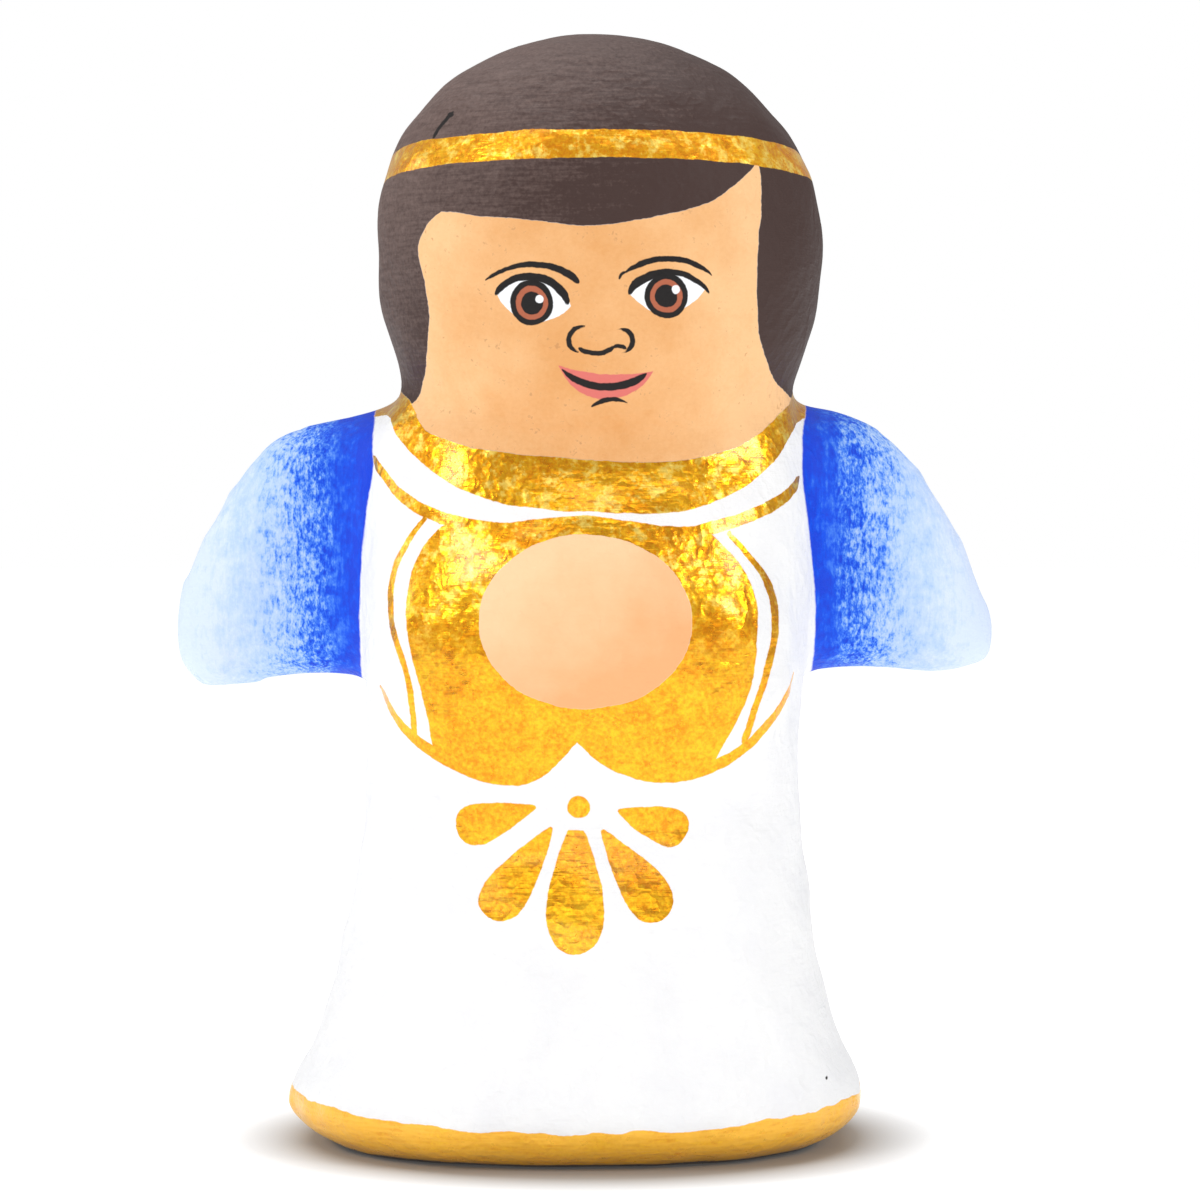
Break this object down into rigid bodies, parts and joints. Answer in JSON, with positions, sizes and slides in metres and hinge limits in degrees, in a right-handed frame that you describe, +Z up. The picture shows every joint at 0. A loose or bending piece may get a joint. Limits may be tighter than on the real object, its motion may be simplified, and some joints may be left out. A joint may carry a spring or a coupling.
{
  "type": "papier-mache figure",
  "caption": "Standing papier-mache figure of a winged child in a long bell-shaped gown, with folded sleeves, joined hands and stub wings, painted and gilded.",
  "frame": {"origin": "centre of the figure's bounding box, on the floor it stands on", "axes": "+Z up, the face and hands look along -Y, +X to the right of someone who faces the figure, along the wings"},
  "size_m": [0.226, 0.1073, 0.2991],
  "materials": {
    "painted_paper": "papier-mache painted in matt and satin paints: white gown, metallic gold sleeves, collar, headband and hem, blue wings, brown hair, skin-coloured face and hands"
  },
  "bodies": {
    "root": {"figure": "painted_paper"}
  },
  "joints": []
}
